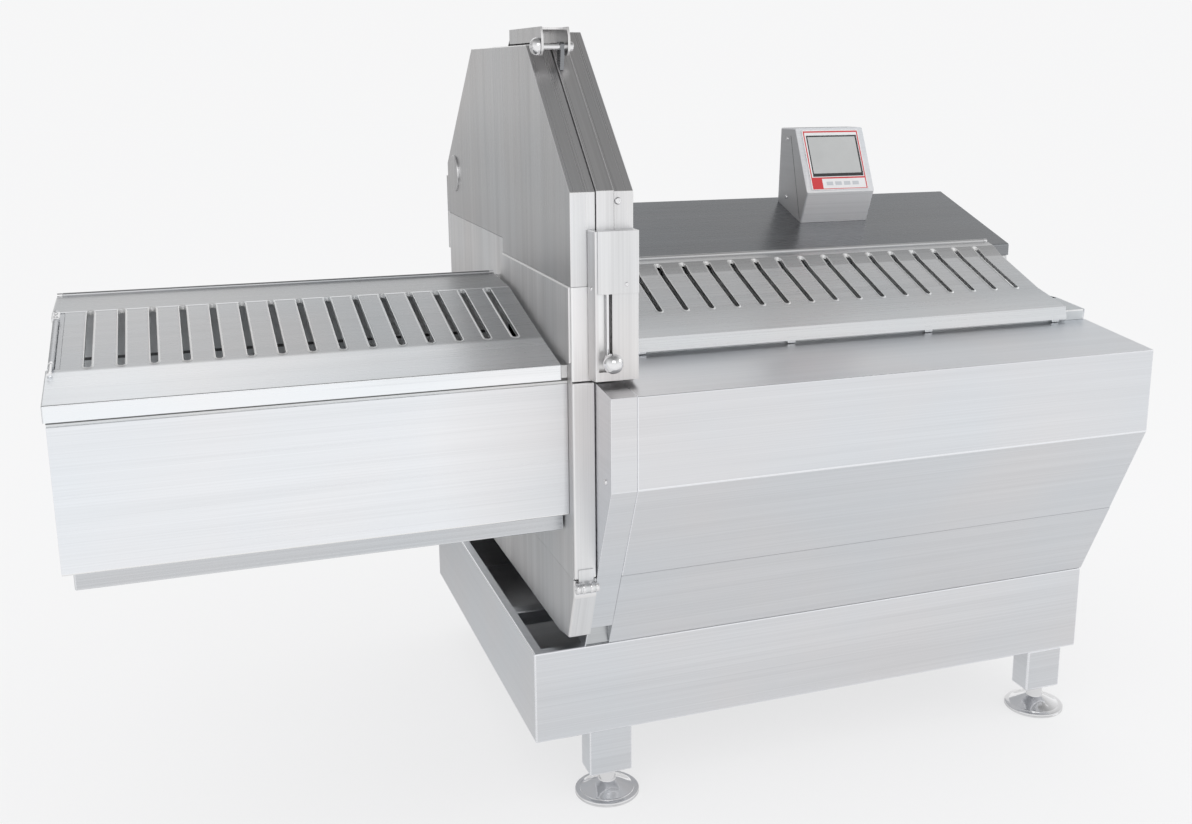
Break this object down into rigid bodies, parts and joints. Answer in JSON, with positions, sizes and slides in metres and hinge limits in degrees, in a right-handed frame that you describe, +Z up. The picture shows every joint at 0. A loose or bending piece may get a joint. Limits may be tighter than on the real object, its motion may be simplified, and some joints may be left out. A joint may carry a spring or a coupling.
{
  "type": "frozen meat slicer",
  "caption": "Floor-standing stainless frozen meat slicer with covered infeed, hinged blade housing, covered outfeed conveyor and tilted control screen.",
  "frame": {"origin": "on the floor, under the centre of the machine's bounding box", "axes": "+X to the infeed end on the right, +Y to the rear, +Z up"},
  "size_m": [1.874, 1.021, 1.363],
  "materials": {
    "belt_rubber": "matt",
    "brushed_stainless": "fine horizontal brushing",
    "chrome": "polished",
    "control_overlay": "glossy film, red frame on white",
    "dark_paint": "semi-gloss paint",
    "food_belt": "food-grade conveyor belt",
    "ground_steel": "ground",
    "satin_stainless": "satin, fine brushing",
    "screen_glass": "dark grey glass over a display"
  },
  "bodies": {
    "machine": {"base_tray": "brushed_stainless", "leg_front_left": "brushed_stainless", "leg_front_right": "brushed_stainless", "leg_rear_left": "brushed_stainless", "leg_rear_right": "brushed_stainless", "machine_frame": "satin_stainless", "left_end_cap": "brushed_stainless", "body_lower_panel": "brushed_stainless", "body_front_panel": "brushed_stainless", "right_end_plate": "brushed_stainless", "trough": "satin_stainless", "rear_deck": "satin_stainless", "rear_cover": "brushed_stainless", "hood_hinge_rod": "chrome", "control_box": "satin_stainless", "control_overlay": "control_overlay", "control_screen": "screen_glass", "main_plate": "satin_stainless", "housing_rim": "satin_stainless", "housing_fixed_half": "brushed_stainless", "lower_left_casing": "brushed_stainless", "rear_lower_panel": "brushed_stainless", "lower_tub": "brushed_stainless", "cover_hinge_pin": "chrome", "door_hinge_pin": "chrome", "latch_box": "brushed_stainless", "latch_cover": "brushed_stainless", "clamp_pin": "chrome", "bearing_housing": "ground_steel", "drive_belt": "belt_rubber", "blade_motor": "dark_paint", "guide_rod_front": "ground_steel", "guide_rod_rear": "ground_steel", "feed_motor": "dark_paint", "outfeed_front_panel": "brushed_stainless", "outfeed_frame": "satin_stainless", "outfeed_tray": "satin_stainless", "conveyor_belt": "food_belt", "lid_hinge_rod": "chrome"},
    "foot_front_left": {"levelling_foot_front_left": "chrome"},
    "foot_front_right": {"levelling_foot_front_right": "chrome"},
    "foot_rear_left": {"levelling_foot_rear_left": "chrome"},
    "foot_rear_right": {"levelling_foot_rear_right": "chrome"},
    "hood": {"infeed_hood": "satin_stainless"},
    "door": {"blade_door": "brushed_stainless", "door_disc": "brushed_stainless"},
    "latch": {"latch_bolt": "chrome"},
    "clamp": {"top_clamp_lever": "satin_stainless"},
    "front_cover": {"lower_front_cover": "brushed_stainless"},
    "blade_group": {"blade": "ground_steel", "blade_hub": "ground_steel", "blade_shaft": "ground_steel", "driven_pulley": "ground_steel"},
    "motor_pulley": {"motor_pulley": "ground_steel"},
    "pusher": {"pusher_carriage": "satin_stainless"},
    "lead_screw": {"lead_screw": "ground_steel"},
    "drive_roller": {"drive_roller": "chrome"},
    "idler_roller": {"idler_roller": "chrome"},
    "lid": {"outfeed_lid": "satin_stainless"},
    "flap": {"end_flap": "chrome"}
  },
  "joints": [
    {"name": "foot_front_left_turn", "type": "hinge", "parent": "machine", "child": "foot_front_left", "pos_m": [-0.072, -0.327, 0.05], "axis": [0, 0, 1], "continuous": true},
    {"name": "foot_front_right_turn", "type": "hinge", "parent": "machine", "child": "foot_front_right", "pos_m": [0.868, -0.327, 0.05], "axis": [0, 0, 1], "continuous": true},
    {"name": "foot_rear_left_turn", "type": "hinge", "parent": "machine", "child": "foot_rear_left", "pos_m": [-0.072, 0.455, 0.05], "axis": [0, 0, 1], "continuous": true},
    {"name": "foot_rear_right_turn", "type": "hinge", "parent": "machine", "child": "foot_rear_right", "pos_m": [0.868, 0.455, 0.05], "axis": [0, 0, 1], "continuous": true},
    {"name": "hood_lift", "type": "hinge", "parent": "machine", "child": "hood", "pos_m": [-0.053, -0.0435, 0.9392], "axis": [-1, 0, 0], "range_deg": [0, 80]},
    {"name": "door_swing", "type": "hinge", "parent": "machine", "child": "door", "pos_m": [-0.153, 0.499, 0.9863], "axis": [0, 0, -1], "range_deg": [0, 100]},
    {"name": "latch_slide", "type": "slide", "parent": "machine", "child": "latch", "axis": [0, 0, 1], "range_m": [0, 0.085]},
    {"name": "clamp_swing", "type": "hinge", "parent": "machine", "child": "clamp", "pos_m": [-0.151, -0.237, 1.331], "axis": [1, 0, 0], "range_deg": [0, 100]},
    {"name": "front_cover_tip", "type": "hinge", "parent": "machine", "child": "front_cover", "pos_m": [-0.16, -0.4365, 0.4515], "axis": [1, 0, 0], "range_deg": [0, 100]},
    {"name": "blade_spin", "type": "hinge", "parent": "machine", "child": "blade_group", "pos_m": [-0.135, 0.028, 0.882], "axis": [1, 0, 0], "continuous": true},
    {"name": "motor_pulley_spin", "type": "hinge", "parent": "machine", "child": "motor_pulley", "pos_m": [0.002, 0.113, 0.537], "axis": [1, 0, 0], "continuous": true},
    {"name": "pusher_slide", "type": "slide", "parent": "machine", "child": "pusher", "axis": [-1, 0, 0], "range_m": [0, 0.83]},
    {"name": "lead_screw_spin", "type": "hinge", "parent": "machine", "child": "lead_screw", "pos_m": [-0.0687, -0.327, 0.717], "axis": [1, 0, 0], "continuous": true},
    {"name": "drive_roller_spin", "type": "hinge", "parent": "machine", "child": "drive_roller", "pos_m": [-0.198, -0.325, 0.6095], "axis": [0, 1, 0], "continuous": true},
    {"name": "idler_roller_spin", "type": "hinge", "parent": "machine", "child": "idler_roller", "pos_m": [-0.893, -0.325, 0.6095], "axis": [0, 1, 0], "continuous": true},
    {"name": "lid_lift", "type": "hinge", "parent": "machine", "child": "lid", "pos_m": [-0.937, 0.032, 0.9172], "axis": [-1, 0, 0], "range_deg": [0, 75]},
    {"name": "flap_swing", "type": "hinge", "parent": "lid", "child": "flap", "pos_m": [-0.9295, -0.29471, 0.85905], "axis": [0, 0.9707, 0.2404], "range_deg": [0, 80]}
  ],
  "couplings": [
    {"joint": "motor_pulley_spin", "follows": "blade_spin", "ratio": 1.4},
    {"joint": "idler_roller_spin", "follows": "drive_roller_spin", "ratio": 1},
    {"joint": "lead_screw_spin", "follows": "pusher_slide", "rad_per_m": 157.08}
  ]
}
